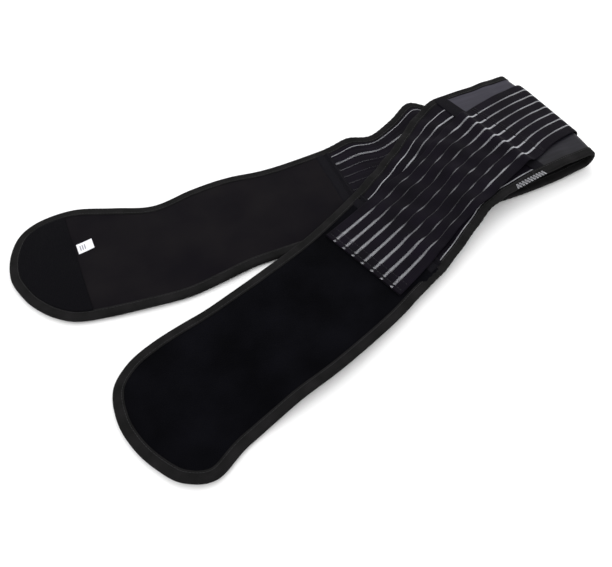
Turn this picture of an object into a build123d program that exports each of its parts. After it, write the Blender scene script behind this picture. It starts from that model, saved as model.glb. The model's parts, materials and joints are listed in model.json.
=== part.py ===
from build123d import *
from math import asin, cos, radians, sin
import os

# Elastic lumbar support belt with two outer pull straps, folded in half at the centre of its back
# panel and laid on a flat surface. Millimetres. The origin is on the surface under the middle of the
# folded back panel. +X points to the fold, -X to the two free ends, +Y to the belt's top edge, +Z up.
# The lower half lies with its outer side down, the upper half lies on it with its outer side up.

# ---- lengths along the belt, as it lies ----
fold_centre_x = 40.0      # where the flat of each half turns into the fold
back_length = 89.0        # half of the back panel, from there to the middle of its side seam
elastic_length = 192.0    # elastic section, side seam to front seam
lower_front_length = 365.0    # front panel, front seam to its rounded tip
upper_front_length = 342.0    # the same panel, lying slightly bowed
strap_seam = 72.3         # where the pull strap is sewn to the back panel
strap_overlap = 60.0      # how far a pull strap reaches over the front panel

# ---- heights across the belt ----
back_height = 170.0       # back panel, top edge to bottom edge
front_height = 142.0      # at the front seam
strap_width = 105.0
binding_width = 10.5      # visible leg of the edge binding

# ---- thicknesses of the layers ----
strap_thickness = 1.4
hem_thickness = 1.6       # doubled end hem of a pull strap
strap_gap = 0.4           # running gap between a strap and the belt under it
tape_thickness = 0.6      # binding and seam tapes
outer_thickness = 0.8     # loop pile of the front panel, satin of the back panel
foam_thickness = 2.0
lining_thickness = 0.8
web_thickness = 1.4       # main elastic
hook_thickness = 1.2      # hook patch on the front panel
strap_hook_thickness = 0.7
tag_thickness = 0.3
tag_gap = 0.3             # between the tag and the lining under it
tag_seam_gap = 1.5        # from the patch edge to the tag, room for the tag to turn over

# ---- small pieces ----
tape_width = 18.0         # front seam tape
casing_width = 16.0       # stay casing at the side seam
stay_width = 8.0
stay_thickness = 1.2
stay_length = 140.0
stay_gap = 0.15           # all round, between a stay and its casing
hem_length = 14.0
strap_hook_length = 40.0
strap_hook_margin = 6.0   # from the patch to the strap's side edges
hook_patch_length = 67.0  # from its seam to the tip of the belt
tag_length = 17.0
tag_width = 14.0
tag_offset = 17.0         # from the belt's middle line up to the middle of the tag
seam_gap = 0.3            # between pieces that move apart

# ---- the fold and the lie of the two halves ----
fold_radius = 14.4        # outermost surface of the fold
fold_split = 0.2          # between the two halves at the middle of the fold
rest_gap = 0.4            # between the lower half's lining side and the upper half's
lower_turns = (0.0, 2.5, 6.0)      # direction of back, elastic and front, in degrees from -X to +Y
upper_turns = (0.0, -24.0, -17.0)
lower_strap_turns = (-5.0, -2.0)   # direction of a strap over the back panel and past its seam
upper_strap_turns = (-12.0, -21.0)
strap_rise = 11.0         # the strap crosses the fold this far above the middle line

# ---- depths of the layers, inwards from the strap's outer surface ----
tape_outer = strap_thickness + strap_hook_thickness + strap_gap
stack_outer = tape_outer + tape_thickness
foam_outer = stack_outer + outer_thickness
foam_inner = foam_outer + foam_thickness
stack_inner = foam_inner + lining_thickness
tape_inner = stack_inner + tape_thickness
stack_middle = (stack_outer + stack_inner) / 2
web_outer = stack_middle - web_thickness / 2
web_inner = stack_middle + web_thickness / 2

# ---- side view: flats and gentle steps of the outermost surface, going from the fold to the tip ----
# Each step is (start x, end x, start z, end z). The lower half steps down to the floor past the strap's
# end. The upper half comes down from the fold, lies on the lower half, and steps down beside it.
total_height = 2 * fold_radius + fold_split
front_seam = back_length + elastic_length
strap_end_x = fold_centre_x - front_seam - strap_overlap
lower_steps = [(strap_end_x - 8, strap_end_x - 58, 0.0, -tape_outer)]
lying_z = 2 * tape_inner + rest_gap
settled_z = tape_inner
upper_steps = [
    (fold_centre_x - back_length + 5, fold_centre_x - back_length - 165, total_height, lying_z),
    (fold_centre_x - front_seam - 150, fold_centre_x - front_seam - 215, lying_z, settled_z),
]

reach = 1000.0            # longer than any piece, for planes that only cut
end_x = -reach


# ---- plan of the edges, between the back panel's straight edges and the tip ----
# Each row is: share of the section's length, how far the top and the bottom edge stand out from the
# straight line of the section, and the rounding of each. The gathered elastic and the soft front
# panels lie unevenly, so the two halves differ.
lower_elastic_edges = [(0.24, 20, 0, 35, 400), (0.62, -3, 0, 50, 400)]
upper_elastic_edges = []
lower_front_edges = [
    (0.0, 0, 0, 120, 120),
    (0.31, 0, 2, 150, 150),
    (0.57, -19, 17, 90, 120),
    (0.80, 10, 7, 60, 90),
    (1.0, 1, -5, 58, 55),
]
upper_front_edges = [
    (0.0, -13, 2, 120, 120),
    (0.31, -9, 8, 300, 300),
    (0.62, -10, 7, 300, 300),
    (1.0, -9, 7, 64, 52),
]


class Half:
    """One half of the belt: which way its outer side faces, and how it lies in plan."""

    def __init__(self, side, steps, turns, strap_turns, front_length, elastic_edges, front_edges):
        self.side = side            # +1 with the outer side up, -1 with it down
        self.steps = steps
        self.turns = turns
        self.strap_turns = strap_turns
        self.front_length = front_length
        self.tip = front_seam + front_length
        self.elastic_edges = elastic_edges
        self.front_edges = front_edges
        self.fold_z = fold_radius if side < 0 else total_height - fold_radius


lower = Half(
    -1, lower_steps, lower_turns, lower_strap_turns, lower_front_length, lower_elastic_edges, lower_front_edges
)
upper = Half(
    1, upper_steps, upper_turns, upper_strap_turns, upper_front_length, upper_elastic_edges, upper_front_edges
)


def walk(start, lengths, turns, s, w):
    """The point at distance s along a line of straight runs and w to its top side."""
    x, y = start
    done = 0.0
    for number, (length, turn) in enumerate(zip(lengths, turns)):
        last = number == len(lengths) - 1
        if s <= done + length or last:
            run = s - done
            bend = 0.0
            if number and abs(run) < 1e-6:
                bend = turns[number - 1] - turn
            elif not last and abs(run - length) < 1e-6:
                bend = turns[number + 1] - turn
            across = radians(turn + bend / 2)
            reach_out = w / cos(radians(bend / 2))
            along = radians(turn)
            x += -run * cos(along) + reach_out * sin(across)
            y += run * sin(along) + reach_out * cos(across)
            return x, y
        x -= length * cos(radians(turn))
        y += length * sin(radians(turn))
        done += length


def on_belt(half, s, w):
    lengths = (back_length, elastic_length, half.front_length)
    return walk((fold_centre_x, 0.0), lengths, half.turns, s, w)


def on_strap(half, s, w):
    lengths = (strap_seam, front_seam + strap_overlap - strap_seam)
    return walk((fold_centre_x, strap_rise), lengths, half.strap_turns, s, w)


def side_surface(half, depth):
    """Edges of one layer surface in the side view, from the middle of the fold out past the tip."""
    lift = -half.side * depth
    radius = fold_radius - depth
    level = half.fold_z + half.side * radius
    start = (fold_centre_x, level)
    nose = (fold_centre_x + radius, half.fold_z)
    shoulder = (fold_centre_x + radius * cos(radians(45)), half.fold_z + half.side * radius * sin(radians(45)))
    ThreePointArc(nose, shoulder, start)
    here = start
    for x0, x1, z0, z1 in half.steps:
        run = x0 - x1
        fall = z0 - z1
        bend = (run**2 + fall**2) / (4 * fall)
        angle = asin(run / 2 / bend)
        crest = bend + lift
        trough = bend - lift
        flat_end = (x0, z0 + lift)
        mid_crest = (x0 - crest * sin(angle / 2), z0 - bend + crest * cos(angle / 2))
        join = (x0 - crest * sin(angle), z0 - bend + crest * cos(angle))
        mid_trough = (x1 + trough * sin(angle / 2), z1 + bend - trough * cos(angle / 2))
        flat_start = (x1, z1 + lift)
        Line(here, flat_end)
        ThreePointArc(flat_end, mid_crest, join)
        ThreePointArc(join, mid_trough, flat_start)
        here = flat_start
    Line(here, (end_x, here[1]))
    return nose, (end_x, here[1])


def slab(half, outer, inner, plan):
    """The layer between two depths, cut to a plan outline."""
    with BuildPart() as piece:
        with BuildSketch(Plane.XZ):
            with BuildLine():
                nose_a, end_a = side_surface(half, outer)
                nose_b, end_b = side_surface(half, inner)
                Line(nose_a, nose_b)
                Line(end_a, end_b)
            make_face()
        extrude(amount=reach, both=True)
        with BuildSketch(Plane.XY.offset(-reach)):
            add(plan)
        extrude(amount=2 * reach, mode=Mode.INTERSECT)
    return piece.part


def outline(half, inset):
    """Plan of one half, running on past the fold, set in from its edge."""
    back = back_height / 2
    front = front_height / 2
    # distance from the fold, top edge, bottom edge, and the rounding of each
    stations = [(-2 * fold_radius, back, -back, 0, 0), (back_length, back, -back, 150, 150)]
    for share, top, bottom, top_round, bottom_round in half.elastic_edges:
        line = back + share * (front - back)
        s = back_length + share * elastic_length
        stations.append((s, line + top, -line - bottom, top_round, bottom_round))
    for share, top, bottom, top_round, bottom_round in half.front_edges:
        s = front_seam + share * half.front_length
        stations.append((s, front + top, -front - bottom, top_round, bottom_round))
    corners = [(on_belt(half, s, w), r) for s, w, _, r, _ in stations]
    corners += [(on_belt(half, s, w), r) for s, _, w, _, r in reversed(stations)]
    with BuildSketch() as plan:
        with BuildLine():
            FilletPolyline([point for point, _ in corners], radius=[r for _, r in corners], close=True)
        make_face()
        if inset:
            offset(amount=-inset, kind=Kind.INTERSECTION)
    return plan.sketch


def zone(half, start, end, inset):
    """Plan of the belt between two seams, set in from the edge."""
    with BuildSketch() as plan:
        add(outline(half, inset))
        with BuildLine():
            Polyline(
                on_belt(half, start, -back_height),
                on_belt(half, start, back_height),
                on_belt(half, end, back_height),
                on_belt(half, end, -back_height),
                close=True,
            )
        make_face(mode=Mode.INTERSECT)
    return plan.sketch


def seam_strip(half, seam, width, inset):
    """Plan of a tape of one width centred on a seam."""
    left = on_belt(half, seam, -back_height)
    right = on_belt(half, seam, back_height)
    with BuildSketch() as plan:
        add(outline(half, inset))
        with BuildLine() as seam_line:
            Line(left, right)
        direction = seam_line.line % 0
        centre = seam_line.line @ 0.5
        angle = Vector(1, 0, 0).get_signed_angle(direction, Vector(0, 0, 1))
        with Locations(Location(centre, angle)):
            Rectangle(4 * back_height, width, mode=Mode.INTERSECT)
    return plan.sketch


def strap_plan(half, start, end, margin):
    """Plan of a pull strap between two distances from the fold."""
    edge = strap_width / 2 - margin
    stations = [start, end] if start >= strap_seam or end <= strap_seam else [start, strap_seam, end]
    points = [on_strap(half, s, edge) for s in stations]
    points += [on_strap(half, s, -edge) for s in reversed(stations)]
    with BuildSketch() as plan:
        with BuildLine():
            Polyline(*points, close=True)
        make_face()
    return plan.sketch


def save(part, label):
    part.label = label
    export_step(part, f"parts/{label}.step")


def cut_across(part, x, keep_towards_fold):
    """The piece on one side of an upright plane across the belt."""
    with BuildPart() as piece:
        add(part)
        split(bisect_by=Plane.YZ.offset(x), keep=Keep.TOP if keep_towards_fold else Keep.BOTTOM)
    return piece.part


def front_panel(half, name):
    """Loop pile outside, foam core and lining inside, laminated and sewn as one panel."""
    plan = zone(half, front_seam, half.tip + back_height, tape_thickness)
    save(slab(half, stack_outer, foam_outer, plan), f"{name}_front_loop_face")
    save(slab(half, foam_outer, foam_inner, plan), f"{name}_front_foam")
    save(slab(half, foam_inner, stack_inner, plan), f"{name}_front_lining")


def elastic_web(half, name):
    plan = zone(half, back_length, front_seam, tape_thickness)
    casing = seam_strip(half, back_length, casing_width, 0)
    with BuildPart() as web:
        add(slab(half, web_outer, web_inner, plan))
        add(slab(half, web_outer, web_inner, casing), mode=Mode.SUBTRACT)
    save(web.part, f"{name}_elastic_web")


def seam_tapes(half, name):
    """Tapes over both sides of the front seam, thick enough to reach down to the thinner elastic."""
    strip = seam_strip(half, front_seam, tape_width, binding_width)
    elastic_side = zone(half, back_length, front_seam, binding_width)
    for label, skin, web in [
        ("outer", (tape_outer, stack_outer), (stack_outer, web_outer)),
        ("inner", (stack_inner, tape_inner), (web_inner, stack_inner)),
    ]:
        with BuildSketch() as ledge:
            add(strip)
            add(elastic_side, mode=Mode.INTERSECT)
        with BuildPart() as tape:
            add(slab(half, *skin, strip))
            add(slab(half, *web, ledge.sketch))
        save(tape.part, f"{name}_front_seam_tape_{label}")


def back_panel(half, name):
    """Satin outside, padding, lining inside; it ends at the fold and at the stay casing."""
    plan = zone(half, -2 * fold_radius, back_length, tape_thickness)
    casing = seam_strip(half, back_length, casing_width, 0)
    for label, outer, inner in [
        ("outer_satin", stack_outer, foam_outer),
        ("foam", foam_outer, foam_inner),
        ("lining", foam_inner, stack_inner),
    ]:
        with BuildPart() as sheet:
            add(slab(half, outer, inner, plan))
            add(slab(half, outer, inner, casing), mode=Mode.SUBTRACT)
        save(sheet.part, f"{name}_back_{label}")


def stay_and_casing(half, name):
    """Tunnel of tape at the side seam, open under the bindings, with a flat spiral steel stay in it."""
    half_stay = stay_thickness / 2
    plan = seam_strip(half, back_length, casing_width, tape_thickness)
    tunnel = seam_strip(half, back_length, stay_width + 2 * stay_gap, 0)
    with BuildPart() as casing:
        add(slab(half, stack_outer, stack_inner, plan))
        add(
            slab(half, stack_middle - half_stay - stay_gap, stack_middle + half_stay + stay_gap, tunnel),
            mode=Mode.SUBTRACT,
        )
    save(casing.part, f"{name}_stay_casing")

    stay_plan = seam_strip(half, back_length, stay_width, (back_height - stay_length) / 2)
    save(slab(half, stack_middle - half_stay, stack_middle + half_stay, stay_plan), f"{name}_stay")


def edge_binding(half, name):
    """One tape folded round the edge with a leg on each face: over the back panel's two edges and
    round the fold, and from the side seam out round the tip and back."""
    with BuildSketch() as rim:
        add(outline(half, 0))
        add(outline(half, binding_width), mode=Mode.SUBTRACT)
        with BuildLine():
            Polyline(
                (fold_centre_x + fold_radius, -reach),
                (fold_centre_x + fold_radius, reach),
                (end_x, reach),
                (end_x, -reach),
                close=True,
            )
        make_face(mode=Mode.INTERSECT)
    panel = zone(half, front_seam, half.tip + back_height, tape_thickness)
    back = zone(half, -2 * fold_radius, back_length, tape_thickness)
    casing = seam_strip(half, back_length, casing_width, tape_thickness)
    web = zone(half, back_length, front_seam, tape_thickness)
    with BuildPart() as tape:
        add(slab(half, tape_outer, tape_inner, rim.sketch))
        for plan in (panel, back, casing):
            add(slab(half, stack_outer, stack_inner, plan), mode=Mode.SUBTRACT)
        add(slab(half, web_outer, web_inner, web), mode=Mode.SUBTRACT)
    side_seam_x = fold_centre_x - back_length
    save(cut_across(tape.part, side_seam_x, True), f"{name}_back_binding")
    save(cut_across(tape.part, side_seam_x, False), f"{name}_edge_binding")


def pull_strap(half, name):
    """Striped elastic strap, sewn to the back panel and free from there to its hemmed end."""
    strap_end = front_seam + strap_overlap
    hem_start = strap_end - hem_length
    hinge_x = fold_centre_x - strap_seam
    whole = strap_plan(half, -2 * fold_radius, hem_start, 0)
    band = slab(half, 0.0, strap_thickness, whole)
    save(cut_across(band, hinge_x + seam_gap, True), f"{name}_strap_back")
    save(cut_across(band, hinge_x, False), f"{name}_strap_band")
    hem = strap_plan(half, hem_start, strap_end, 0)
    save(slab(half, 0.0, hem_thickness, hem), f"{name}_strap_hem")
    patch = strap_plan(half, hem_start - strap_hook_length, hem_start, strap_hook_margin)
    patch_depth = strap_thickness + strap_hook_thickness
    save(slab(half, strap_thickness, patch_depth, patch), f"{name}_strap_hook_patch")


os.makedirs("parts", exist_ok=True)

for half, name in [(lower, "lower"), (upper, "upper")]:
    front_panel(half, name)
    elastic_web(half, name)
    seam_tapes(half, name)
    back_panel(half, name)
    stay_and_casing(half, name)
    edge_binding(half, name)
    pull_strap(half, name)

# ---- hook patch, on the lining at the tip of the lower half ----
patch_seam_x = fold_centre_x - lower.tip + hook_patch_length
with BuildSketch() as patch_plan:
    add(outline(lower, binding_width))
    with Locations((patch_seam_x, 0)):
        Rectangle(reach, reach, align=(Align.MAX, Align.CENTER), mode=Mode.INTERSECT)
save(slab(lower, stack_inner, stack_inner + hook_thickness, patch_plan.sketch), "hook_patch")

# ---- size tag, a small woven label sewn at one end into the hook patch's seam ----
tag_x = patch_seam_x + tag_seam_gap
tag_y = on_belt(lower, lower.tip - hook_patch_length, tag_offset)[1]
with BuildSketch() as tag_plan:
    with Locations((tag_x, tag_y)):
        Rectangle(tag_length, tag_width, align=(Align.MIN, Align.CENTER))
tag_depth = stack_inner + tag_gap
save(slab(lower, tag_depth, tag_depth + tag_thickness, tag_plan.sketch), "size_tag")
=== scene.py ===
import json
import math

import bpy
import numpy as np
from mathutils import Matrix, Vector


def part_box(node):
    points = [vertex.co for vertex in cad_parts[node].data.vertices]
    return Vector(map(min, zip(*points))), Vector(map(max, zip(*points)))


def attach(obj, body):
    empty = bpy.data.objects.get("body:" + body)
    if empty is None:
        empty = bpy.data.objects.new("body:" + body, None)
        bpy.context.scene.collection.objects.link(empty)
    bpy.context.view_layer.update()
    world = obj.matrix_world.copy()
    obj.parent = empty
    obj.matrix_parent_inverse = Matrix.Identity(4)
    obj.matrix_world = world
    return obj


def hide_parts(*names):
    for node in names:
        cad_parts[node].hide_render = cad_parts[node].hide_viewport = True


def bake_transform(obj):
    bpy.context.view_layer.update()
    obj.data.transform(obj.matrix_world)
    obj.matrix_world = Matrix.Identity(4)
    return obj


# The object is an elastic lumbar support belt, folded in half at the centre of its back panel. The
# lower half lies with its outer side down, the upper half lies across it with its outer side up.
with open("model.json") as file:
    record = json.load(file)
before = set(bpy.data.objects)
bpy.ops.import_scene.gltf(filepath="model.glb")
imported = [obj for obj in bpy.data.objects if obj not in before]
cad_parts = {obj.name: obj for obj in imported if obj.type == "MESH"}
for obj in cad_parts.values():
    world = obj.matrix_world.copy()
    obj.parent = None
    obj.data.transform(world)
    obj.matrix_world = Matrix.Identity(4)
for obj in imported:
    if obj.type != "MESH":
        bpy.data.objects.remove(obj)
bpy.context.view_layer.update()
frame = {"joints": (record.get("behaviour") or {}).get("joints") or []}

# ---- Floor, lights and camera ----
# A matt white floor, one broad soft lamp behind and above, a weaker one in front, and a bright white
# room all round, as for a catalogue picture of a black article.


def linear(hex_colour):
    """A colour written as sRGB hex, as the linear values that a shader needs."""
    values = [int(hex_colour[i : i + 2], 16) / 255 for i in (1, 3, 5)]
    return [v / 12.92 if v <= 0.04045 else ((v + 0.055) / 1.055) ** 2.4 for v in values] + [1.0]


def add_node(material, kind, settings=(), links=()):
    """Adds one node with its settings and socket values, and links its inputs to their sources."""
    tree = material.node_tree
    node = tree.nodes.new(kind)
    for key, value in dict(settings).items():
        if isinstance(key, int) or key in node.inputs:
            node.inputs[key].default_value = value
        else:
            setattr(node, key, value)
    for socket, source in dict(links).items():
        tree.links.new(source, node.inputs[socket])
    return node


def new_finish(name, colour, roughness, settings=()):
    """A material whose steady values are set on its shader's own sockets."""
    material = bpy.data.materials.new(name)
    material.use_nodes = True
    shader = material.node_tree.nodes["Principled BSDF"]
    shader.inputs["Base Color"].default_value = linear(colour)
    shader.inputs["Roughness"].default_value = roughness
    for socket, value in dict(settings).items():
        shader.inputs[socket].default_value = value
    return material, shader


def raise_pattern(material, shader, height, strength, distance):
    """Drives the shader's normal with a height pattern; the distance is in metres."""
    bump = add_node(
        material, "ShaderNodeBump", {"Strength": strength, "Distance": distance}, {"Height": height}
    )
    material.node_tree.links.new(bump.outputs["Normal"], shader.inputs["Normal"])


def tint(material, shader, mask, dark, light, low=0.3, high=0.7):
    """Colours the shader between two hex colours as a mask goes from low to high."""
    ramp_node = add_node(material, "ShaderNodeValToRGB", {}, {"Fac": mask})
    first, last = ramp_node.color_ramp.elements
    first.position, last.position = low, high
    first.color, last.color = linear(dark), linear(light)
    material.node_tree.links.new(ramp_node.outputs["Color"], shader.inputs["Base Color"])


bpy.ops.mesh.primitive_plane_add(size=12, location=(-0.3, -0.05, -0.0006))
floor = bpy.context.object
floor.name = "floor"
paper, paper_shader = new_finish("matt_white_paper", "#fafafa", 0.9)
paper_grain = add_node(paper, "ShaderNodeTexNoise", {"Scale": 1 / 0.0012, "Detail": 3.0})
raise_pattern(paper, paper_shader, paper_grain.outputs["Fac"], 0.05, 0.0002)
floor.data.materials.append(paper)

# Each lamp: its name, its place in metres, its turn in degrees, its size in metres and its watts.
lamps = [
    ("key", (0.15, 0.75, 1.25), (-32, 14, 0), 1.3, 6.0),
    ("fill", (-1.1, -0.9, 1.3), (38, -34, 0), 1.6, 3.0),
]
for name, place, turn, size, power in lamps:
    bpy.ops.object.light_add(type="AREA", location=place, rotation=[math.radians(a) for a in turn])
    lamp = bpy.context.object
    lamp.name = f"{name}_lamp"
    lamp.data.size = size
    lamp.data.energy = power

room = bpy.data.worlds.new("white_room")
room.use_nodes = True
room.node_tree.nodes["Background"].inputs["Color"].default_value = (1, 1, 1, 1)
room.node_tree.nodes["Background"].inputs["Strength"].default_value = 1.15
scene = bpy.context.scene
scene.world = room
scene.view_settings.view_transform = "Standard"

bpy.ops.object.camera_add(
    location=(-0.5023, -0.4297, 0.4815), rotation=(math.radians(38), 0, math.radians(-26))
)
camera = bpy.context.object
camera.data.sensor_width = 36
camera.data.lens = 35.3
scene.camera = camera

# ---- How the belt lies ----
# Both halves are laid out alike. A point is named by p, its distance in plan from the start of the
# fold's curve towards the free end, by y, and by its depth inwards from the pull strap's outer
# surface, all in millimetres. side is 1 on the upper half and -1 on the lower half.
fold = next(j for j in frame["joints"] if j["name"] == "fold")
nose_x = fold["pos_m"][0] * 1000
radius = fold["pos_m"][2] * 1000
total_height = 2 * radius
fold_x = nose_x - radius
quarter = radius * math.pi / 2

strap_thick = 1.4
tape_outer = 2.5
tape_thick = 0.6
skin_outer = tape_outer + tape_thick
foam_outer = skin_outer + 0.8
foam_inner = foam_outer + 2.0
skin_inner = foam_inner + 0.8
tape_inner = skin_inner + tape_thick
middle = (skin_outer + skin_inner) / 2
lying = 2 * tape_inner + 0.4
side_seam = 89.0
front_seam = 281.0
edge_pull = 5.0  # how far the tight bindings draw the fold's two ends in
side_of = {"lower": -1, "upper": 1}


def ramp(x, start, end):
    """Rises smoothly from 0 at start to 1 at end."""
    t = np.clip((x - start) / (end - start), 0, 1)
    return t * t * (3 - 2 * t)


def bell(x, centre, width):
    """1 at the centre, falling smoothly away to either side."""
    return np.exp(-(((x - centre) / width) ** 2))


def level(side, p):
    """Height of the outermost surface, with each step down between two distances p."""
    past_strap = -tape_outer * ramp(p, 349, 399)
    onto_lower_half = (lying - total_height) * ramp(p, 84, 254)
    onto_floor = (tape_inner - lying) * ramp(p, 431, 496)
    return np.where(side > 0, total_height + onto_lower_half + onto_floor, past_strap)


def rumple(side, p, y):
    """How far the settled fabric stands above its plain lie. Each wave has its height, its place along
    p or y and its width, all in millimetres."""
    # Lower half: the slack top edge of the elastic stands in two waves, and the lining lies a little
    # uneven, but flat where the size tag is sewn on.
    gather = ramp(p, 97, 120) * (1 - ramp(p, 262, 281))
    waves = 6.0 * bell(p, 137, 21) + 3.8 * bell(p, 236, 17) - 0.8 * bell(p, 203, 13)
    sag = 1.0 + 0.7 * np.sin(p / 31 + 0.4) * np.cos(y / 44) + 0.5 * np.sin(p / 17 - y / 29)
    open_lining = ramp(p + 0.6 * (y + 60), 400, 470) * (1 - ramp(p, 590, 640))
    sewn_flat = 1 - bell(p, 574, 20) * bell(y, 48, 22)
    lower = ramp(y, 22, 95) * gather * waves + open_lining * sewn_flat * np.maximum(sag, 0)
    # Upper half: the elastic creases between its seams and lifts at its edges, the front panel is
    # puffed, and the satin puckers beside the strap.
    creases = 1.2 * np.sin((p - 0.8 * y) / 7.5) + 0.9 * np.sin((p + 0.5 * y) / 11.0 + 1.2)
    window = ramp(p, 112, 145) * (1 - ramp(p, 245, 280))
    lip = 4.0 * bell(p, 165, 26) * (1 - ramp(y, 0, 70)) + 2.6 * bell(p, 116, 14) * ramp(y, 30, 80)
    swell = 1.1 + 0.9 * np.sin(p / 37 + 1.0) * np.cos((y + 120) / 47) + 0.5 * np.sin(p / 19 + y / 31)
    puffed = ramp(p, 300, 380) * (1 - ramp(p, 545, 590))
    pull = 0.9 * np.sin(p / 8 + y / 24) * bell(p, 40, 22) * ramp(np.abs(y), 45, 65)
    upper = window * (2.0 + creases) + lip + puffed * np.maximum(swell, 0) + pull
    return np.where(side > 0, upper, lower) * ramp(p, 2, 20)


def lay(side, p, y, depth):
    """Places in metres of points of the belt, in a list of rows."""
    side, p, y, depth = (np.asarray(v, float) for v in np.broadcast_arrays(side, p, y, depth))
    turn = np.clip(-p / radius, 0, math.pi / 2)
    arm = radius - depth
    x = np.where(p >= 0, fold_x - p, fold_x + arm * np.sin(turn))
    near_binding = 0.25 + 0.75 * ramp(np.abs(y), 45, 86)
    x = x - edge_pull * near_binding * (1 - ramp(p, -5, 55))
    flat_z = level(side, p) + rumple(side, p, y) - side * depth
    z = np.where(p >= 0, flat_z, radius + side * arm * np.cos(turn))
    return np.stack([x, y, z], axis=-1).reshape(-1, 3) / 1000


# The edge of each half in plan, as (p, y) points from the fold round the tip and back.
edge_points = {
    "lower": [
        (-30, 86), (0, 86), (45, 87), (87, 89), (110, 100), (133, 109.5), (168, 94), (205, 80), (238, 84),
        (281, 80), (350, 78.5), (394, 86.5), (439, 86.5), (485, 79.5), (525, 95), (565, 112.5), (600, 112.5),
        (626, 100), (641, 74), (646, 42), (639, 13), (630, -6), (616.5, -24), (598, -38.5), (570, -46.5),
        (530, -53.5), (490, -58), (450, -55), (410, -50), (370, -52), (340, -56), (281, -64), (230, -72),
        (180, -80), (136, -85), (91, -87), (45, -86), (0, -82.5), (-30, -82),
    ],
    "upper": [
        (-30, 90), (0, 90.5), (50, 89), (100, 87), (129, 80), (158, 65), (197, 38), (234, 17),
        (275, -6), (323, -30), (361, -47), (411, -64.5), (440, -74), (470, -80), (505, -86), (540, -95),
        (567, -107), (585.5, -127), (590, -158), (584.5, -187), (572.5, -213), (556, -234), (530, -243),
        (496, -227.5), (444, -213), (390, -200), (324, -178), (285, -161.5), (247, -146.5), (210, -128),
        (183, -114), (155, -101), (118, -92), (71, -86), (40, -84), (0, -82.5), (-30, -82),
    ],
}


def smooth_line(points, steps):
    """A smooth line through the points, with so many samples from each to the next."""
    q = np.array(points, float)
    q = np.vstack([2 * q[0] - q[1], q, 2 * q[-1] - q[-2]])
    t = np.linspace(0, 1, steps, endpoint=False)[:, None]
    runs = [
        0.5 * (2 * b + (c - a) * t + (2 * a - 5 * b + 4 * c - d) * t**2 + (3 * b - a - 3 * c + d) * t**3)
        for a, b, c, d in zip(q, q[1:], q[2:], q[3:])
    ]
    return np.vstack(runs + [q[-2:-1]])


def distance_gone(line):
    """Distance gone along a line of points, from 0 at the first."""
    return np.concatenate([[0], np.cumsum(np.linalg.norm(np.diff(line, axis=0), axis=1))])


def even_line(line, spacing):
    """The same line with its points evenly spaced."""
    gone = distance_gone(line)
    at = np.linspace(0, gone[-1], int(gone[-1] / spacing) + 1)
    return np.stack([np.interp(at, gone, line[:, 0]), np.interp(at, gone, line[:, 1])], axis=-1)


def inward(line):
    """Unit directions in plan from the edge into the belt."""
    t = np.gradient(line, axis=0)
    t = t / np.linalg.norm(t, axis=1)[:, None]
    return np.stack([t[:, 1], -t[:, 0]], axis=-1)


edge = {half: even_line(smooth_line(points, 12), 2.5) for half, points in edge_points.items()}

# The seams slope a little in plan. A line across the belt is p = c + slope * y, with its slope at
# the fold, the side seam, the front seam and the tip.
slopes = {"lower": (0, -0.02, -0.07, 0), "upper": (0, 0.2, 0.2, 0)}


def across(half, c, share, inset):
    """p and y on the line across the belt at c, at a share of the way from the bottom edge to the top
    edge, between edges that are set in by inset."""
    line = edge[half] + inward(edge[half]) * inset
    tip = line[:, 0].argmax()
    slope_at = np.interp(c, (0, side_seam, front_seam, line[tip, 0]), slopes[half])
    p = np.empty_like(c)
    y = np.empty_like(c)
    for c0 in np.unique(c):
        here = c == c0
        k = slope_at[here][0]
        shifted = line[:, 0] - k * line[:, 1]
        top = np.interp(c0, shifted[: tip + 1], line[: tip + 1, 1])
        bottom = np.interp(c0, shifted[tip:][::-1], line[tip:, 1][::-1])
        y[here] = bottom + (top - bottom) * share[here]
        p[here] = c0 + k * y[here]
    return p, y


def tip_of(half, inset):
    """How far out a half reaches, inside an edge that is set in by inset."""
    line = edge[half] + inward(edge[half]) * inset
    return line[:, 0].max()


# ---- Loop pile faces of the front panels ----
# The outer face of each end panel: knitted nylon loop pile, napped so that hooks catch in it, very
# black and velvety. It is laminated to the foam, cut to the panel's outline and bound at the edge.


def finish_mesh(piece, name, material):
    """Names a piece, gives it its one material and shades it smooth."""
    piece.name = piece.data.name = name
    piece.data.materials.clear()
    piece.data.materials.append(material)
    piece.data.shade_smooth()
    return piece


def doubled_grid(name, counts, shape, material):
    """A flat grid given a thickness and then laid in place. shape turns the shares a (along) and b
    (across) of its points into places on the outer face, on the inner face and in the cloth."""
    bpy.ops.object.select_all(action="DESELECT")
    bpy.ops.mesh.primitive_grid_add(x_subdivisions=counts[0], y_subdivisions=counts[1], size=2)
    piece = bpy.context.object
    mesh = piece.data
    flat = np.empty(len(mesh.vertices) * 3)
    mesh.vertices.foreach_get("co", flat)
    outer, inner, cloth = shape(*(flat.reshape(-1, 3)[:, i] / 2 + 0.5 for i in (0, 1)))
    corner = np.empty(len(mesh.loops), int)
    mesh.loops.foreach_get("vertex_index", corner)
    mesh.uv_layers[0].data.foreach_set("uv", (cloth[corner] / 1000).astype(np.float32).ravel())
    modifier = piece.modifiers.new("thickness", "SOLIDIFY")
    bpy.ops.object.modifier_apply(modifier=modifier.name)
    mesh.vertices.foreach_set("co", np.vstack([outer, inner]).astype(np.float32).ravel())
    mesh.update()
    bpy.ops.object.mode_set(mode="EDIT")
    bpy.ops.mesh.select_all(action="SELECT")
    bpy.ops.mesh.normals_make_consistent(inside=False)
    bpy.ops.object.mode_set(mode="OBJECT")
    return finish_mesh(piece, name, material)


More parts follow.
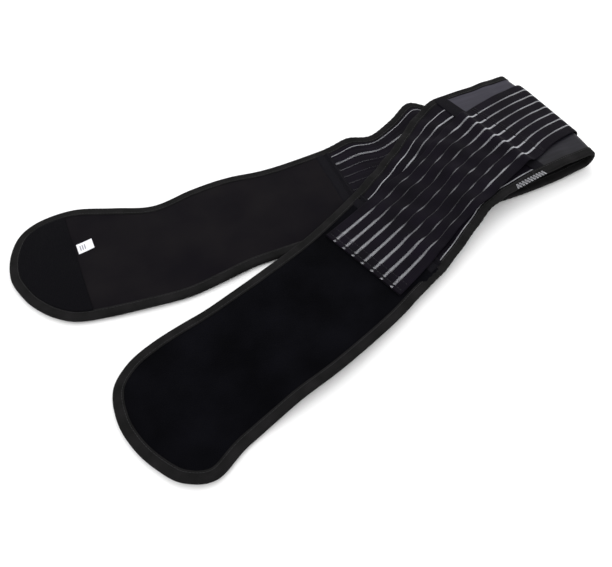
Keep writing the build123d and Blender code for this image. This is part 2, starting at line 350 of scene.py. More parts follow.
def layer(name, counts, lie, outer, inner, material):
    """A closed layer of fabric. lie turns shares a (along) and b (across) into side, p and y, and
    outer and inner are its two depths, plain or worked out from a, b, side, p and y."""

    def shape(a, b):
        a, b = np.round(a, 5), np.round(b, 5)
        side, p, y = lie(a, b)
        faces = [lay(side, p, y, d(a, b, side, p, y) if callable(d) else d) for d in (outer, inner)]
        return *faces, np.stack([np.broadcast_to(side, p.shape) * p, y], axis=-1)

    return doubled_grid(name, counts, shape, material)


def belt_lie(half, start, end, inset=1.5):
    """How a layer lies on one half between two lines across it, in from the edge by inset."""

    def lie(a, b):
        last = tip_of(half, inset) - 0.5
        if end is None:
            c = start + (last - start) * np.sin(a * math.pi / 2)
        else:
            c = start + (end - start) * a
        return side_of[half], *across(half, c, b, inset)

    return lie


def padded_depth(half, depth, rise, direction):
    """A depth that stands out by rise in the panel's middle and falls back beside the binding."""
    line = edge[half]

    def at(a, b, side, p, y):
        to_edge = np.array([np.hypot(line[:, 0] - p0, line[:, 1] - y0).min() for p0, y0 in zip(p, y)])
        from_seam = ramp(a, 0.0, 0.08)
        return depth + direction * rise * ramp(to_edge, 9, 28) * from_seam

    return at


# Loop pile takes nearly all light: it shows as a soft black with faint patches where the nap is
# brushed, and a fine loopy grain close by. Each pattern's scale is 1 / its size in metres.
loop_pile, pile_shader = new_finish(
    "knitted_loop_pile",
    "#060608",
    1.0,
    {"Specular IOR Level": 0.02, "Sheen Weight": 0.006, "Sheen Roughness": 0.6},
)
pile_place = add_node(loop_pile, "ShaderNodeTexCoord")
pile_patches = add_node(
    loop_pile,
    "ShaderNodeTexNoise",
    {"Scale": 1 / 0.045, "Detail": 5.0},
    {"Vector": pile_place.outputs["UV"]},
)
tint(loop_pile, pile_shader, pile_patches.outputs["Fac"], "#040406", "#09090d", 0.35, 0.7)
pile_loops = add_node(
    loop_pile, "ShaderNodeTexVoronoi", {"Scale": 1 / 0.0011}, {"Vector": pile_place.outputs["UV"]}
)
raise_pattern(loop_pile, pile_shader, pile_loops.outputs["Distance"], 0.7, 0.0005)

panel_counts = (130, 56)
for half in ("lower", "upper"):
    rise = 0.5 if half == "lower" else 0.8
    pile = layer(
        f"{half}_loop_pile",
        panel_counts,
        belt_lie(half, front_seam, None),
        padded_depth(half, skin_outer, rise, -1),
        foam_outer,
        loop_pile,
    )
    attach(pile, f"{half}_half")
    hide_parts(f"{half}_front_loop_face")

# ---- Padding of the front panels ----
# A sheet of soft black foam laminated between the loop pile and the lining. It is closed in by the
# two faces and the binding, and gives the panel its full, rounded feel.

# Open-cell foam: matt, with a fine pitted grain.
foam, foam_shader = new_finish("laminated_foam", "#1c1c1f", 0.95)
foam_cells = add_node(foam, "ShaderNodeTexVoronoi", {"Scale": 1 / 0.0009})
raise_pattern(foam, foam_shader, foam_cells.outputs["Distance"], 0.5, 0.0003)
tint(foam, foam_shader, foam_cells.outputs["Distance"], "#131316", "#222226", 0.1, 0.8)

for half in ("lower", "upper"):
    pad = layer(
        f"{half}_front_padding", (90, 40), belt_lie(half, front_seam, None, 2.5), foam_outer, foam_inner, foam
    )
    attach(pad, f"{half}_half")
    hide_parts(f"{half}_front_foam")

# ---- Linings of the front panels ----
# The inner face of each end panel: a brushed warp-knit lining, soft against the clothes, laminated
# to the foam. It is a shade warmer and lighter than the pile.

# Brushed knit: matt brownish black, with fine wales along the belt and a faint short nap.
lining, lining_shader = new_finish(
    "brushed_knit_lining",
    "#121013",
    0.95,
    {"Specular IOR Level": 0.04, "Sheen Weight": 0.012, "Sheen Roughness": 0.5},
)
lining_place = add_node(lining, "ShaderNodeTexCoord")
wale_pitch = 0.0014  # the bands of a wave texture lie tau / 20 apart at scale 1
lining_wales = add_node(
    lining,
    "ShaderNodeTexWave",
    {"bands_direction": "Y", "Scale": math.tau / 20 / wale_pitch, "Distortion": 1.5, "Detail": 2.0},
    {"Vector": lining_place.outputs["UV"]},
)
lining_tone = add_node(
    lining, "ShaderNodeTexNoise", {"Scale": 1 / 0.06, "Detail": 6.0}, {"Vector": lining_place.outputs["UV"]}
)
tint(lining, lining_shader, lining_tone.outputs["Fac"], "#0e0c10", "#151315", 0.35, 0.7)
raise_pattern(lining, lining_shader, lining_wales.outputs["Fac"], 0.25, 0.0002)

for half in ("lower", "upper"):
    inner_face = layer(
        f"{half}_lining",
        panel_counts,
        belt_lie(half, front_seam, None),
        foam_inner,
        padded_depth(half, skin_inner, 0.5, 1),
        lining,
    )
    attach(inner_face, f"{half}_half")
    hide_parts(f"{half}_front_lining")

# ---- Hook patch ----
# Moulded-hook tape sewn over the lining at the tip of the lower half: the belt closes with it on
# the other end's loop pile. Its straight seam crosses the panel.

# Hook tape: bluish black, a little shinier than cloth, in fine rows of hooks.
hook_tape, hook_shader = new_finish("woven_hook_tape", "#0e0e14", 0.75, {"Specular IOR Level": 0.05})
hook_place = add_node(hook_tape, "ShaderNodeTexCoord")
hook_pitch = 0.0016
hook_rows = add_node(
    hook_tape,
    "ShaderNodeTexVoronoi",
    {"Scale": 1 / hook_pitch, "Randomness": 0.25},
    {"Vector": hook_place.outputs["UV"]},
)
tint(hook_tape, hook_shader, hook_rows.outputs["Distance"], "#06050a", "#030305", 0.1, 0.7)
raise_pattern(hook_tape, hook_shader, hook_rows.outputs["Distance"], 0.8, 0.0006)

patch_seam = 579.0
binding_width = 10.5
patch = layer(
    "tip_hook_patch",
    (60, 60),
    belt_lie("lower", patch_seam, None, binding_width - 0.8),
    skin_inner - 0.4,
    skin_inner + 1.1,
    hook_tape,
)
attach(patch, "lower_half")
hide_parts("hook_patch")

# ---- Elastic sections ----
# The main elastic between the back panel and each front panel: heavy woven elastic in dark bands,
# parted by see-through stripes of clear monofilament. It is sewn in under the seam tapes.
web_thick = 1.4

# Woven elastic: dark navy black with a soft shine, ribbed across where the rubber draws it in.
elastic, elastic_shader = new_finish(
    "woven_elastic",
    "#101016",
    0.72,
    {"Specular IOR Level": 0.05, "Sheen Weight": 0.006, "Sheen Roughness": 0.4},
)
elastic_place = add_node(elastic, "ShaderNodeTexCoord")
rib_pitch = 0.0016
elastic_ribs = add_node(
    elastic,
    "ShaderNodeTexWave",
    {"bands_direction": "X", "Scale": math.tau / 20 / rib_pitch, "Distortion": 2.0, "Detail": 2.0},
    {"Vector": elastic_place.outputs["UV"]},
)
elastic_wear = add_node(
    elastic, "ShaderNodeTexNoise", {"Scale": 1 / 0.03, "Detail": 5.0}, {"Vector": elastic_place.outputs["UV"]}
)
tint(elastic, elastic_shader, elastic_wear.outputs["Fac"], "#09070d", "#0f0b14", 0.35, 0.7)
raise_pattern(elastic, elastic_shader, elastic_ribs.outputs["Fac"], 0.5, 0.0003)

# Clear monofilament: smooth nylon wire laid to and fro, which glints grey white where the elastic
# is stretched open and goes dark where it has closed up. The open share is kept on the mesh.
filament, filament_shader = new_finish("clear_monofilament", "#b4b5bd", 0.35, {"Specular IOR Level": 0.6})
filament_open = add_node(filament, "ShaderNodeAttribute", {"attribute_name": "open_share"})
tint(filament, filament_shader, filament_open.outputs["Fac"], "#131318", "#dedfe5", 0.02, 0.95)



def thread_runs(name, runs, thickness, material, shares=None):
    """Threads as round wires through rows of points in metres, joined as one piece. Each run may
    carry the share by which its stripe is open."""
    curve = bpy.data.curves.new(name, "CURVE")
    curve.dimensions = "3D"
    curve.bevel_depth = thickness / 2000
    curve.bevel_resolution = 0
    for run in runs:
        spline = curve.splines.new("POLY")
        spline.points.add(len(run) - 1)
        spline.points.foreach_set("co", np.column_stack([run, np.ones(len(run))]).astype(np.float32).ravel())
    piece = bpy.data.objects.new(name, curve)
    scene.collection.objects.link(piece)
    bpy.ops.object.select_all(action="DESELECT")
    piece.select_set(True)
    bpy.context.view_layer.objects.active = piece
    bpy.ops.object.convert(target="MESH")
    piece = bpy.context.object
    if shares is not None:
        ring = len(piece.data.vertices) // sum(len(r) for r in runs)
        values = np.repeat(np.concatenate(shares), ring)
        attribute = piece.data.attributes.new("open_share", "FLOAT", "POINT")
        attribute.data.foreach_set("value", values.astype(np.float32))
    return finish_mesh(piece, name, material)


def monofilament(name, stripes, depths, zigzag=1.05):
    """Clear stripes, each a run of wire laid to and fro on both faces of the elastic. A stripe is
    side, p, y along its middle, the directions across it in plan, its half width, its open share and
    how far it is swelled outwards."""
    wire_thick = 0.62
    runs = []
    shares = []
    for side, p, y, p_across, y_across, half_width, open_share, swell in stripes:
        step = np.concatenate([[0], np.cumsum(np.hypot(np.diff(p), np.diff(y)))])
        at = np.arange(0, step[-1], zigzag / 2)
        swing = np.where(np.arange(len(at)) % 2, 1, -1)
        values = [np.interp(at, step, v) for v in (p, y, p_across, y_across, half_width, open_share, swell)]
        side_at = np.sign(np.interp(at, step, side) + 1e-6)
        for depth, sink in depths:
            down = depth + sink * (1 - values[5]) - values[6]
            away = swing * values[4]
            place = lay(side_at, values[0] + away * values[2], values[1] + away * values[3], down)
            runs.append(place)
            shares.append(values[5])
    return thread_runs(name, runs, wire_thick, filament, shares)


def groove(w, stripe_rows, width, depth):
    """How deep the elastic is hollowed along its clear stripes."""
    return depth * sum(bell(w, row, width) for row in stripe_rows)


# The clear stripes' places across the elastic, from 1 at its top edge to -1 at its bottom edge. They
# are evenly spaced but for the last, which runs close beside the bottom binding.
elastic_rows = [0.757 - 0.172 * n for n in range(9)] + [-0.88]
# How far each stripe is pulled open, and its half width in millimetres, from the top edge down.
pulled_open = {
    "lower": [0.9, 1.4, 0.3, 0.15, 0.12, 0.1, 0.2, 0.3, 0.5, 0.6],
    "upper": [0.9, 1.0, 0.35, 0.3, 0.3, 0.3, 0.3, 0.6, 0.9, 1.0],
}
stripe_half = {
    "lower": [0.5, 1.3, 0.9, 0.9, 0.8, 0.8, 0.9, 0.9, 0.9, 0.6],
    "upper": [0.5, 1.1, 0.8, 0.8, 0.8, 0.8, 0.8, 0.8, 0.8, 0.6],
}
for half in ("lower", "upper"):
    web_start = side_seam + 6

    def web_depth(face, direction):
        def at(a, b, side, p, y):
            return face + direction * groove(b * 2 - 1, elastic_rows, 0.018, 0.3)

        return at

    web = layer(
        f"{half}_elastic",
        (110, 150),
        belt_lie(half, web_start, front_seam, 3.0),
        web_depth(middle - web_thick / 2, 1),
        web_depth(middle + web_thick / 2, -1),
        elastic,
    )
    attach(web, f"{half}_half")
    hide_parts(f"{half}_elastic_web")

    stripes = []
    for number, row in enumerate(elastic_rows):
        c = np.linspace(web_start + 1, front_seam - 4, 90)
        share = (row + 1) / 2 + 0 * c
        if half == "lower":
            share += (0.012, 0.026)[number == 0] + 0.03 * (1 - ramp(c, 190, 270))
            dip = (0.45, 0.1)[number == 0] * bell(c, 205, 26)
        else:
            dip = 0.5 * bell(c, 160, 24) + 0.2 * np.sin(c / 9 + number) ** 2 - 0.4 * bell(c, 222, 30)
        p, y = across(half, c, share, 3.0)
        p_up, y_up = across(half, c, share + 0.05, 3.0)
        reach = np.hypot(p_up - p, y_up - y)
        open_share = np.clip(pulled_open[half][number] * (1 - dip), 0.05, 1)
        half_width = stripe_half[half][number] * (0.55 + 0.45 * open_share)
        side = side_of[half] * np.ones_like(c)
        swell = np.zeros_like(c)
        stripes.append(
            (side, p, y, (p_up - p) / reach, (y_up - y) / reach, half_width, open_share, swell)
        )
    faces = [(middle - web_thick / 2 + 0.1, 0.2), (middle + web_thick / 2 - 0.1, -0.2)]
    wires = monofilament(f"{half}_elastic_monofilament", stripes, faces)
    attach(wires, f"{half}_half")

# ---- Back panel ----
# The stiffened middle of the belt, folded here: grey satin outside, a thin foam pad and the brushed
# lining inside. It is one piece that runs round the fold from side seam to side seam.


def round_fold(u, end, v, place):
    """Side, p, y and distance along of points from one end of a piece, where u is -1, round the fold to
    the other, where u is 1. place finds p and y on a half from the distance along and v."""
    side = np.where(u < 0, -1.0, 1.0)
    along = np.abs(u) * (end + quarter) - quarter
    v = np.broadcast_to(v, u.shape)
    p = np.empty_like(along)
    y = np.empty_like(along)
    for half, here in (("lower", side < 0), ("upper", side > 0)):
        p[here], y[here] = place(half, along[here], v[here])
    return side, p, y, along


def fold_lie(end, inset):
    """How a layer lies from the lower side seam round the fold to the upper side seam."""

    def place(half, c, share):
        return across(half, c, share, inset)

    def lie(a, b):
        return round_fold(2 * a - 1, end, b, place)[:3]

    return lie


# Satin weave: smooth slate grey with a soft lengthwise sheen and faint drawn threads, with painted shade
# that makes it darker towards the bottom edge.
satin, satin_shader = new_finish(
    "grey_satin_weave",
    "#4a4950",
    0.5,
    {"Specular IOR Level": 0.15, "Sheen Weight": 0.02, "Sheen Roughness": 0.3},
)
satin_place = add_node(satin, "ShaderNodeTexCoord")
satin_stretch = add_node(
    satin, "ShaderNodeMapping", {"Scale": (1 / 0.09, 1 / 0.006, 1)}, {"Vector": satin_place.outputs["UV"]}
)
satin_threads = add_node(
    satin, "ShaderNodeTexNoise", {"Scale": 1.0, "Detail": 4.0}, {"Vector": satin_stretch.outputs["Vector"]}
)
satin_sides = add_node(satin, "ShaderNodeSeparateXYZ", {}, {"Vector": satin_place.outputs["Object"]})
# Painted shade: the satin's colour darkens steadily towards its bottom edge, which turns from the light, and
# lightens towards its top edge.
painted_shade_per_metre = 4.5
satin_painted_shade = add_node(
    satin,
    "ShaderNodeMath",
    {"operation": "MULTIPLY_ADD", 1: painted_shade_per_metre},
    {0: satin_sides.outputs["Y"], 2: satin_threads.outputs["Fac"]},
)
tint(satin, satin_shader, satin_painted_shade.outputs["Value"], "#0a0910", "#2d2b36", 0.12, 0.92)
raise_pattern(satin, satin_shader, satin_threads.outputs["Fac"], 0.35, 0.0004)

panel_end = side_seam - 5
back_layers = [
    ("back_satin", skin_outer, foam_outer, satin, "satin", "back_outer_satin"),
    ("back_padding", foam_outer, foam_inner, foam, "foam", "back_foam"),
    ("back_lining", foam_inner, skin_inner, lining, "lining", "back_lining"),
]
for name, outer, inner, material, slot, node in back_layers:
    sheet = layer(name, (161, 60), fold_lie(panel_end, 1.5), outer, inner, material)
    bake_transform(sheet)
    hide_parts(f"lower_{node}", f"upper_{node}")

# ---- Stays and their casings ----
# A flat spiral stay of spring steel wire stands in a tape casing at each side seam, and keeps the
# back panel from rolling up. The casing is sewn over the joint of satin, lining and elastic.
casing_half = 9.0
casing_rise = 0.7

# Plain woven tape: flat black polyester with a fine even weave.
seam_tape, seam_shader = new_finish("woven_polyester_tape", "#15151a", 0.85, {"Specular IOR Level": 0.06})
seam_place = add_node(seam_tape, "ShaderNodeTexCoord")
seam_weave = add_node(
    seam_tape,
    "ShaderNodeTexVoronoi",
    {"Scale": 1 / 0.0011, "Randomness": 0.2, "distance": "MANHATTAN"},
    {"Vector": seam_place.outputs["UV"]},
)
tint(seam_tape, seam_shader, seam_weave.outputs["Distance"], "#18171c", "#0b0a0e", 0.1, 0.7)
raise_pattern(seam_tape, seam_shader, seam_weave.outputs["Distance"], 0.5, 0.0003)

# Zinc-plated spring steel wire: bright, slightly dulled by handling.
steel, steel_shader = new_finish("plated_spring_steel", "#b9babd", 0.32, {"Metallic": 1.0})
steel_marks = add_node(steel, "ShaderNodeTexNoise", {"Scale": 1 / 0.0015, "Detail": 3.0})
tint(steel, steel_shader, steel_marks.outputs["Fac"], "#9d9ea2", "#c6c7ca", 0.3, 0.7)


def tunnel_depth(face, direction):
    """A strip that stands proud in its middle, where the stay is, and is sewn down at its edges."""

    def at(a, b, side, p, y):
        return face + direction * (casing_rise * np.sin(np.clip(a, 0, 1) * math.pi) ** 0.5 - 0.25)

    return at


def join(pieces, name, material):
    """Joins pieces of one material into the first of them."""
    bpy.ops.object.select_all(action="DESELECT")
    for piece in pieces:
        piece.select_set(True)
    bpy.context.view_layer.objects.active = pieces[0]
    bpy.ops.object.join()
    return finish_mesh(pieces[0], name, material)


stay_turns = 62
stay_half = 3.4  # half the width of the flattened coil
stay_wire = 0.7


for half in ("lower", "upper"):
    casing_lie = belt_lie(half, side_seam - casing_half, side_seam + casing_half, 2.0)
    strips = [
        layer("strip", (18, 70), casing_lie, tunnel_depth(skin_outer, -1), skin_outer + 0.9, seam_tape),
        layer("strip", (18, 70), casing_lie, skin_inner - 0.9, tunnel_depth(skin_inner, 1), seam_tape),
    ]
    casing = join(strips, f"{half}_casing_tape", seam_tape)
    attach(casing, f"{half}_half")
    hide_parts(f"{half}_stay_casing")

    angle = np.linspace(0, stay_turns * math.tau, stay_turns * 10)
    share = 0.5 + (angle / angle[-1] - 0.5) * 0.8
    p, y = across(half, np.full_like(share, side_seam), share, 2.0)
    coil = lay(side_of[half], p + stay_half * np.cos(angle), y, middle + stay_wire / 2 * np.sin(angle))
    stay = thread_runs(f"{half}_spiral_stay", [coil], stay_wire, steel)
    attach(stay, f"{half}_half")
    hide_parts(f"{half}_stay")

# ---- Front seam tapes ----
# Flat tape sewn over both faces of the seam between elastic and front panel, with a narrow welt
# beside it where the elastic's raw edge is turned in.


def welted_depth(face, direction):
    """A wide flat fold, a groove and a narrow welt, from the elastic side to the panel side."""

    def at(a, b, side, p, y):
        profile = 1.7 * bell(a, 0.16, 0.08) + 1.5 * ramp(a, 0.34, 0.46) * (1 - ramp(a, 0.8, 1.0)) - 0.2
        return face + direction * profile

    return at


for half in ("lower", "upper"):
    tape_lie = belt_lie(half, front_seam - 9, front_seam + 11, binding_width - 2)
    strips = [
        layer("strip", (40, 60), tape_lie, welted_depth(skin_outer + 0.3, -0.8), middle, seam_tape),
        layer("strip", (40, 60), tape_lie, middle, welted_depth(skin_inner - 0.3, 1), seam_tape),
    ]
    for strip, face in zip(strips, ("outer", "inner")):
        finish_mesh(strip, f"{half}_front_seam_{face}", seam_tape)
        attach(strip, f"{half}_half")
        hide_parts(f"{half}_front_seam_tape_{face}")

# ---- Edge binding ----
# One knitted tape folded over the raw edge all round the belt and sewn through with a row of
# stitches. On the gathered elastic it puckers a little.
binding_round = (tape_inner - tape_outer) / 2

# Knitted binding: a plain matt black, a shade lighter than the panels, with fine ribs across the tape.
binding, binding_shader = new_finish(
    "knitted_binding_tape",
    "#171917",
    0.92,
    {"Specular IOR Level": 0.05, "Sheen Weight": 0.015, "Sheen Roughness": 0.5},
)
binding_place = add_node(binding, "ShaderNodeTexCoord")
binding_ribs = add_node(
    binding,
    "ShaderNodeTexWave",
    {"bands_direction": "X", "Scale": math.tau / 20 / 0.0013, "Distortion": 1.0, "Detail": 1.0},
    {"Vector": binding_place.outputs["UV"]},
)
binding_wear = add_node(
    binding, "ShaderNodeTexNoise", {"Scale": 1 / 0.02, "Detail": 5.0}, {"Vector": binding_place.outputs["UV"]}
)
tint(binding, binding_shader, binding_wear.outputs["Fac"], "#121212", "#1c1b1c", 0.35, 0.7)
raise_pattern(binding, binding_shader, binding_ribs.outputs["Fac"], 0.4, 0.0003)

# Polyester sewing thread: black, a little glossier than the cloth.
thread, thread_shader = new_finish("polyester_sewing_thread", "#141417", 0.7)
thread_twist = add_node(thread, "ShaderNodeTexNoise", {"Scale": 1 / 0.0008, "Detail": 2.0})
raise_pattern(thread, thread_shader, thread_twist.outputs["Fac"], 0.4, 0.0001)


def on_elastic(p):
    """1 where the binding runs along the gathered elastic, 0 where it runs along a panel."""
    return ramp(p, side_seam, side_seam + 14) * (1 - ramp(p, 268, 279))


def beside_edge(at, side, line, into, inset):
    """Side, p and y of points at distances along a stretch of edge, set in from it."""
    gone = distance_gone(line)
    p, y, p_in, y_in, side_at = (np.interp(at, gone, v) for v in (*line.T, *into.T, side))
    return np.sign(side_at + 1e-6), p + p_in * inset, y + y_in * inset


def bound_edge(name, side, line, into):
    """The binding along a stretch of edge: the tape's two legs and the round over the edge."""
    gone = distance_gone(line)
    leg = binding_width - binding_round
    tape_length = 2 * leg + binding_round * math.pi

    def face(here, reach, within):
        over = np.clip((reach - leg) / binding_round, 0, math.pi)
        on_leg = np.maximum(leg - reach, 0) + np.maximum(reach - leg - binding_round * math.pi, 0)
        pinch = np.interp(here, gone, on_elastic(line[:, 0]))
        pucker = pinch * 0.35 * np.sin(here / 1.15 + 2 * np.sin(here / 23))
        turned_in = 0.12 * (on_leg > leg - 0.6)
        half_thick = binding_round - within - pinch * 1.35 * ramp(on_leg, 0, leg) - turned_in
        inset = binding_round - (binding_round - within + 0.5 * pucker) * np.sin(over) + on_leg
        depth = middle - half_thick * np.cos(over) - 0.5 * pucker * np.cos(over)
        return lay(*beside_edge(here, side, line, into, inset), depth)

    def shape(a, b):
        here = a * gone[-1]
        reach = b * tape_length
        return face(here, reach, 0.0), face(here, reach, tape_thick), np.stack([here, reach], axis=-1)

    return doubled_grid(name, (int(gone[-1] / 2.2), 18), shape, binding)


stitch_length = 3.4
thread_thick = 0.45
stitch_inset = binding_width - 1.9


def stitches(side, line, into, depth):
    """A row of stitches in the binding: a thread that dips into the cloth between stitches."""
    gone = distance_gone(line)
    at = np.arange(0, gone[-1], stitch_length / 4)
    depth = np.interp(at, gone, np.broadcast_to(depth, gone.shape))
    dip = np.tile([0.42, 0.0, 0.0, 0.0], len(at) // 4 + 1)[: len(at)]
    down = depth + dip * np.sign(middle - depth)
    return lay(*beside_edge(at, side, line, into, stitch_inset), down)


for half in ("lower", "upper"):
    line = edge[half]
    tip = line[:, 0].argmax()
    first = np.searchsorted(line[:tip, 0], side_seam)
    last = tip + np.searchsorted(-line[tip:, 0], -side_seam)
    line = line[first:last]
    into = inward(edge[half])[first:last]
    side = np.full(len(line), float(side_of[half]))
    bound = bound_edge(f"{half}_binding", side, line, into)
    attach(bound, f"{half}_half")
    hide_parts(f"{half}_edge_binding")
    out = binding_round + 0.05 - 1.15 * on_elastic(line[:, 0])
    rows = [stitches(side, line, into, middle + direction * out) for direction in (-1, 1)]
    sewing = thread_runs(f"{half}_binding_stitches", rows, thread_thick, thread)
    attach(sewing, f"{half}_half")

fold_edges = []
fold_rows = []
for top in (True, False):
    halves = []
    for half in ("lower", "upper"):
        line = edge[half]
        tip = line[:, 0].argmax()
        line = line[: tip + 1] if top else line[tip:][::-1]
        c = np.linspace(-quarter, side_seam + 1, 60)
        halves.append(np.stack([c, np.interp(c, line[:, 0], line[:, 1])], axis=-1))
    line = np.vstack([halves[0][::-1], halves[1]])
    side = np.repeat([-1.0, 1.0], 60)
    into = np.tile([0.0, -1.0 if top else 1.0], (120, 1))
    fold_edges.append(bound_edge("bound_fold", side, line, into))
    out = binding_round + 0.05
    fold_rows += [stitches(side, line, into, middle + direction * out) for direction in (-1, 1)]
fold_binding = join(fold_edges, "back_binding", binding)
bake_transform(fold_binding)
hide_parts("lower_back_binding", "upper_back_binding")
fold_sewing = thread_runs("back_binding_stitches", fold_rows, thread_thick, thread)
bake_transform(fold_sewing)

# ---- Pull straps ----
# One wide elastic strap runs over the outside of the back panel, sewn down at both side seams. Its
# two ends, hemmed and backed with hook tape, pull forward and close on the front panels.
strap_width = 105.0
strap_seam = 72.3
strap_end = 341.0
end_skew = 0.1  # the cut end is not quite square: its bottom corner reaches further
pitch = 13.4  # from one clear stripe of the strap to the next
strap_rows = [-3, -2, -1, 0, 1, 2, 3]

# The strap's middle line in plan on each half, as (p, y) points from the fold to its end.
strap_middles = {
    "upper": [
        (-30, 9.5), (-22.8, 9.3), (0, 8), (35, 2.5), (70.7, -5), (115, -20), (180, -47.5), (250, -76),
        (321.6, -104.5), (360, -119.5),
    ],
    "lower": [
        (-30, 9.5), (-22.8, 9.3), (0, 8.6), (35, 6.8), (72, 4.4), (120, 3), (200, 0.2), (270, -2.2),
        (340.5, -4.7), (380, -6),
    ],
}
strap_lines = {}
for half, points in strap_middles.items():
    line = even_line(smooth_line(points, 12), 1.0)
    gone = distance_gone(line)
    start = np.interp(0, line[:, 0], gone)
    strap_lines[half] = (gone - start, line, -inward(line))


def on_strap(half, s, w):
    """p and y at s along a strap from the fold's start and w towards its top side. The upper strap is
    drawn in behind its hump and at the edges of its slack middle."""
    along, line, up = strap_lines[half]
    s = s - end_skew * w * ramp(s, 230, strap_end)
    if half == "upper":
        w = w - 4.5 * bell(s, 86, 30) * ramp(-w, -45, 45) - 5 * bell(s, 168, 45) * ramp(w, 42, 52)
        w = w + 5 * bell(s, 232, 55) * ramp(-w, 30, 52)
    p, y, p_up, y_up = (np.interp(s, along, v) for v in (line[:, 0], line[:, 1], up[:, 0], up[:, 1]))
    return p + p_up * w, y + y_up * w


def strap_swell(side, s, w):
    """How far the strap stands off the belt under it: a hump behind its seam on the upper half."""
    crest = 98 - 0.17 * w
    upper = 6.0 * bell(s, crest, 12) * ramp(s, 81 - 0.1 * w, crest) + 1.6 * bell(s, 130, 26)
    upper += 0.9 * bell(s, 30, 22) + 0.5 * np.sin(s / 9 + w / 21) * bell(s, 185, 55)
    upper -= 0.3 * bell(s, strap_seam, 2.5)
    return np.where(side > 0, np.maximum(upper, -0.3), 0.0) * ramp(s, 4, 20)


def strap_lie(half, start, end, width=strap_width):
    """How a strap's free end, or the patch on it, lies between two distances along the strap."""

    def lie(a, b):
        return side_of[half], *on_strap(half, start + (end - start) * a, (b - 0.5) * width)

    return lie


def strap_depth(face, direction, start, end, both=False):
    """Depth of a strap's face, hollowed along the clear stripes, with a doubled hem at its end."""

    def at(a, b, side, p, y):
        w = (b - 0.5) * strap_width
        s = np.abs(2 * a - 1) * (end + quarter) - quarter if both else start + (end - start) * a
        hollow = groove(w, [row * pitch for row in strap_rows], 1.6, 0.35)
        hem = 0.25 * ramp(s, strap_end - 15, strap_end - 14) - 0.35 * bell(s, strap_end - 5, 0.9)
        rim = 0.25 * (np.abs(b - 0.5) > 0.496)
        return face + direction * (hollow + rim - hem * (not both)) - strap_swell(side, s, w)

    return at


def back_strap_lie(a, b):
    """How the strap lies from the lower side seam round the fold to the upper side seam."""
    return round_fold(2 * a - 1, strap_seam, (b - 0.5) * strap_width, on_strap)[:3]


def stripe_share(s, w):
    """How far a strap's clear stripe is pulled open: wide at the fold and at the sewn end, and
    nearly closed where the slack elastic has drawn together."""
    slack = ramp(s, 104, 135) * (1 - ramp(s, 256, 292))
    streaks = 0.22 * np.sin(s / 11 + w) * np.sin(s / 29 + 2.1 * w) + 0.22 * np.sin(s / 5.3 + 1.7 * w)
    share = 0.8 - slack * (0.74 - streaks) + 0.2 * ramp(s, 310, 330)
    share += 0.75 * bell(s, 152, 24) * (w < -2.5 * pitch) - 0.5 * bell(s, 118, 8) * (w < -1.5 * pitch)
    stitched = np.where(s > strap_end - 4.8, 0.0, share)
    return np.clip(np.where(s > strap_end - 2.4, 1.0, stitched), 0.03, 1.0)


back_strap = layer(
    "back_strap",
    (181, 120),
    back_strap_lie,
    strap_depth(0.0, 1, 0, strap_seam, True),
    strap_depth(strap_thick, -1, 0, strap_seam, True),
    elastic,
)
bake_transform(back_strap)
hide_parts("lower_strap_back", "upper_strap_back")

strap_faces = [(0.12, 0.25), (strap_thick - 0.12, -0.25)]
back_stripes = []
for row in strap_rows:
    w = row * pitch
    u = np.linspace(-1, 1, 240)
    side, p, y, s = round_fold(u, strap_seam - 1, w, on_strap)
    p_far, y_far = round_fold(u, strap_seam - 1, w + 1, on_strap)[1:3]
    open_share = 0.6 - 0.2 * bell(s, 40, 14)
    half_width = 0.4 + 0.9 * open_share
    back_stripes.append(
        (side, p, y, p_far - p, y_far - y, half_width, open_share, strap_swell(side, s, w))
    )
back_wires = monofilament("back_strap_monofilament", back_stripes, strap_faces)
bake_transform(back_wires)


def strap_stitches(half, s0, margin, depth):
    """A row of stitches straight across a strap at s0, on the face at this depth."""
    w = np.arange(-strap_width / 2 + margin, strap_width / 2 - margin, stitch_length / 4)
    p, y = on_strap(half, np.full_like(w, s0), w)
    dip = np.tile([0.5, 0.0, 0.0, 0.0], len(w) // 4 + 1)[: len(w)]
    into_cloth = dip * np.sign(strap_thick / 2 - depth)
    return lay(side_of[half], p, y, depth + into_cloth - strap_swell(side_of[half], s0, w))


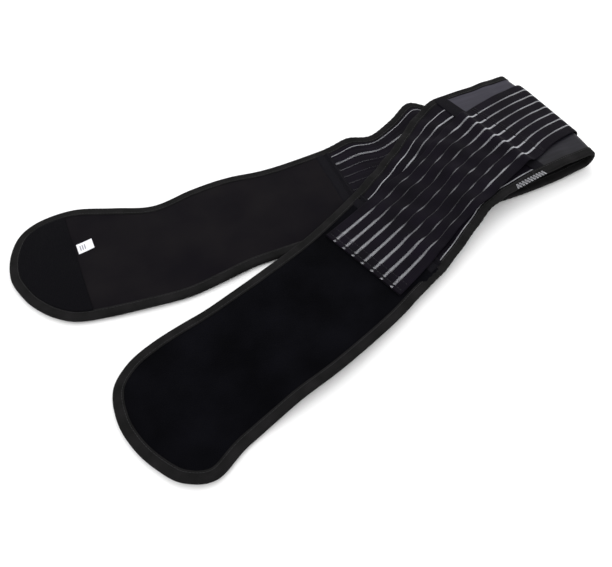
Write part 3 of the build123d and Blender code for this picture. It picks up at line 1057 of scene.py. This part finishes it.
strap_thread = 0.5
for half in ("lower", "upper"):
    band = layer(
        f"{half}_pull_strap",
        (200, 120),
        strap_lie(half, strap_seam, strap_end),
        strap_depth(0.0, 1, strap_seam, strap_end),
        strap_depth(strap_thick, -1, strap_seam, strap_end),
        elastic,
    )
    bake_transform(band)
    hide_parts(f"{half}_strap_band", f"{half}_strap_hem")

    stripes = []
    for row in strap_rows:
        w = row * pitch
        s = np.linspace(strap_seam + 1, strap_end, 260)
        p, y = on_strap(half, s, w)
        p_far, y_far = on_strap(half, s, w + 1)
        side = side_of[half] * np.ones_like(s)
        open_share = stripe_share(s, w)
        half_width = 0.4 + (0.9 + 0.5 * ramp(s, 230, 300)) * open_share
        stripes.append(
            (side, p, y, p_far - p, y_far - y, half_width, open_share, strap_swell(side, s, w))
        )
    wires = monofilament(f"{half}_strap_monofilament", stripes, strap_faces)
    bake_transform(wires)

    hem_rows = [
        strap_stitches(half, strap_end - from_end, 2, depth)
        for from_end, proud in ((5, 0.03), (14.5, 0.0))
        for depth in (-proud, strap_thick + proud)
    ]
    hem_sewing = thread_runs(f"{half}_hem_stitches", hem_rows, strap_thread, thread)
    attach(hem_sewing, f"{half}_strap")

    hooks = layer(
        f"{half}_strap_hooks",
        (30, 70),
        strap_lie(half, strap_end - 54, strap_end - 15, strap_width - 12),
        strap_thick - 0.1,
        strap_thick + 0.7,
        hook_tape,
    )
    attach(hooks, f"{half}_strap")
    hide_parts(f"{half}_strap_hook_patch")

    seam_rows = [strap_stitches(half, strap_seam - from_seam, 1.5, -0.03) for from_seam in (2.2, 5.4)]
    seam_sewing = thread_runs(f"{half}_strap_seam_stitches", seam_rows, strap_thread, thread)
    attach(seam_sewing, f"{half}_half")

# ---- Gathered filament at the side seam ----
# Where the main elastic is sewn in under the strap, its lowest clear wire is drawn up, and lies in
# a close zigzag of two strands over the binding.
bunch_start = 75.0
bunch_reach = 3.2
bunch_p = np.arange(bunch_start, 118.0, 2.1)
swing = np.where(np.arange(len(bunch_p)) % 2, bunch_reach, -bunch_reach)
bunch_y = -85.0 - 0.12 * (bunch_p - bunch_start) + swing
bunch_rows = [lay(1, bunch_p + shift, bunch_y, middle - binding_round - 0.35) for shift in (0.0, 1.2)]
bunch = thread_runs("gathered_filament", bunch_rows, 0.5, filament, [np.full(len(bunch_p), 0.85)] * 2)
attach(bunch, "upper_half")

# ---- Size tag ----
# A small woven label of white polyester satin, cut hot and sewn at one end into the hook patch's
# seam. Its free end curls up a little. It carries three plain woven bars.

# Woven label: bright white, fine and slightly glossy.
label, label_shader = new_finish("woven_label_satin", "#e6e6ea", 0.55, {"Specular IOR Level": 0.3})
label_place = add_node(label, "ShaderNodeTexCoord")
label_weave = add_node(
    label,
    "ShaderNodeTexWave",
    {"bands_direction": "Y", "Scale": math.tau / 20 / 0.0009, "Distortion": 0.5},
    {"Vector": label_place.outputs["UV"]},
)
tint(label, label_shader, label_weave.outputs["Fac"], "#dcdce2", "#efeff2", 0.2, 0.8)
raise_pattern(label, label_shader, label_weave.outputs["Fac"], 0.3, 0.0001)
label_ink, ink_shader = new_finish("grey_woven_yarn", "#8e8e98", 0.8)
ink_grain = add_node(label_ink, "ShaderNodeTexNoise", {"Scale": 1 / 0.0005})
tint(label_ink, ink_shader, ink_grain.outputs["Fac"], "#7c7c86", "#a0a0a8", 0.3, 0.7)

tag_low, tag_high = (corner * 1000 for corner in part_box("size_tag"))
tag_near = fold_x - tag_low.x
tag_length = tag_high.x - tag_low.x
tag_shift = (1.8, 5.5)  # how far it lies towards the fold and towards the bottom edge


def tag_lie(a, b):
    """The tag lies slightly askew, its sewn end where a is 0."""
    y = tag_low.y - tag_shift[1] + (tag_high.y - tag_low.y) * b
    return side_of["lower"], tag_near - tag_shift[0] - tag_length * a, y + 1.2 * a


def tag_depth(proud):
    """The tag's faces curl up off the lining towards its free end."""

    def at(a, b, side, p, y):
        return skin_inner + 0.6 + proud + 1.1 * a**1.5 + 0.4 * np.sin(b * math.pi) * a

    return at


tag = layer("woven_size_tag", (24, 18), tag_lie, tag_depth(0.0), tag_depth(0.3), label)
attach(tag, "size_tag")
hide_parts("size_tag")

bars = []
for bar_start in (0.16, 0.3, 0.44):

    def bar_lie(a, b):
        return tag_lie(bar_start + 0.07 * a, 0.25 + 0.5 * b)

    def bar_depth(proud):
        def at(a, b, side, p, y):
            return tag_depth(proud)(bar_start + 0.07 * a, 0.25 + 0.5 * b, side, p, y)

        return at

    bars.append(layer("bar", (4, 14), bar_lie, bar_depth(0.25), bar_depth(0.36), label_ink))
tag_bars = join(bars, "size_tag_bars", label_ink)
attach(tag_bars, "size_tag")
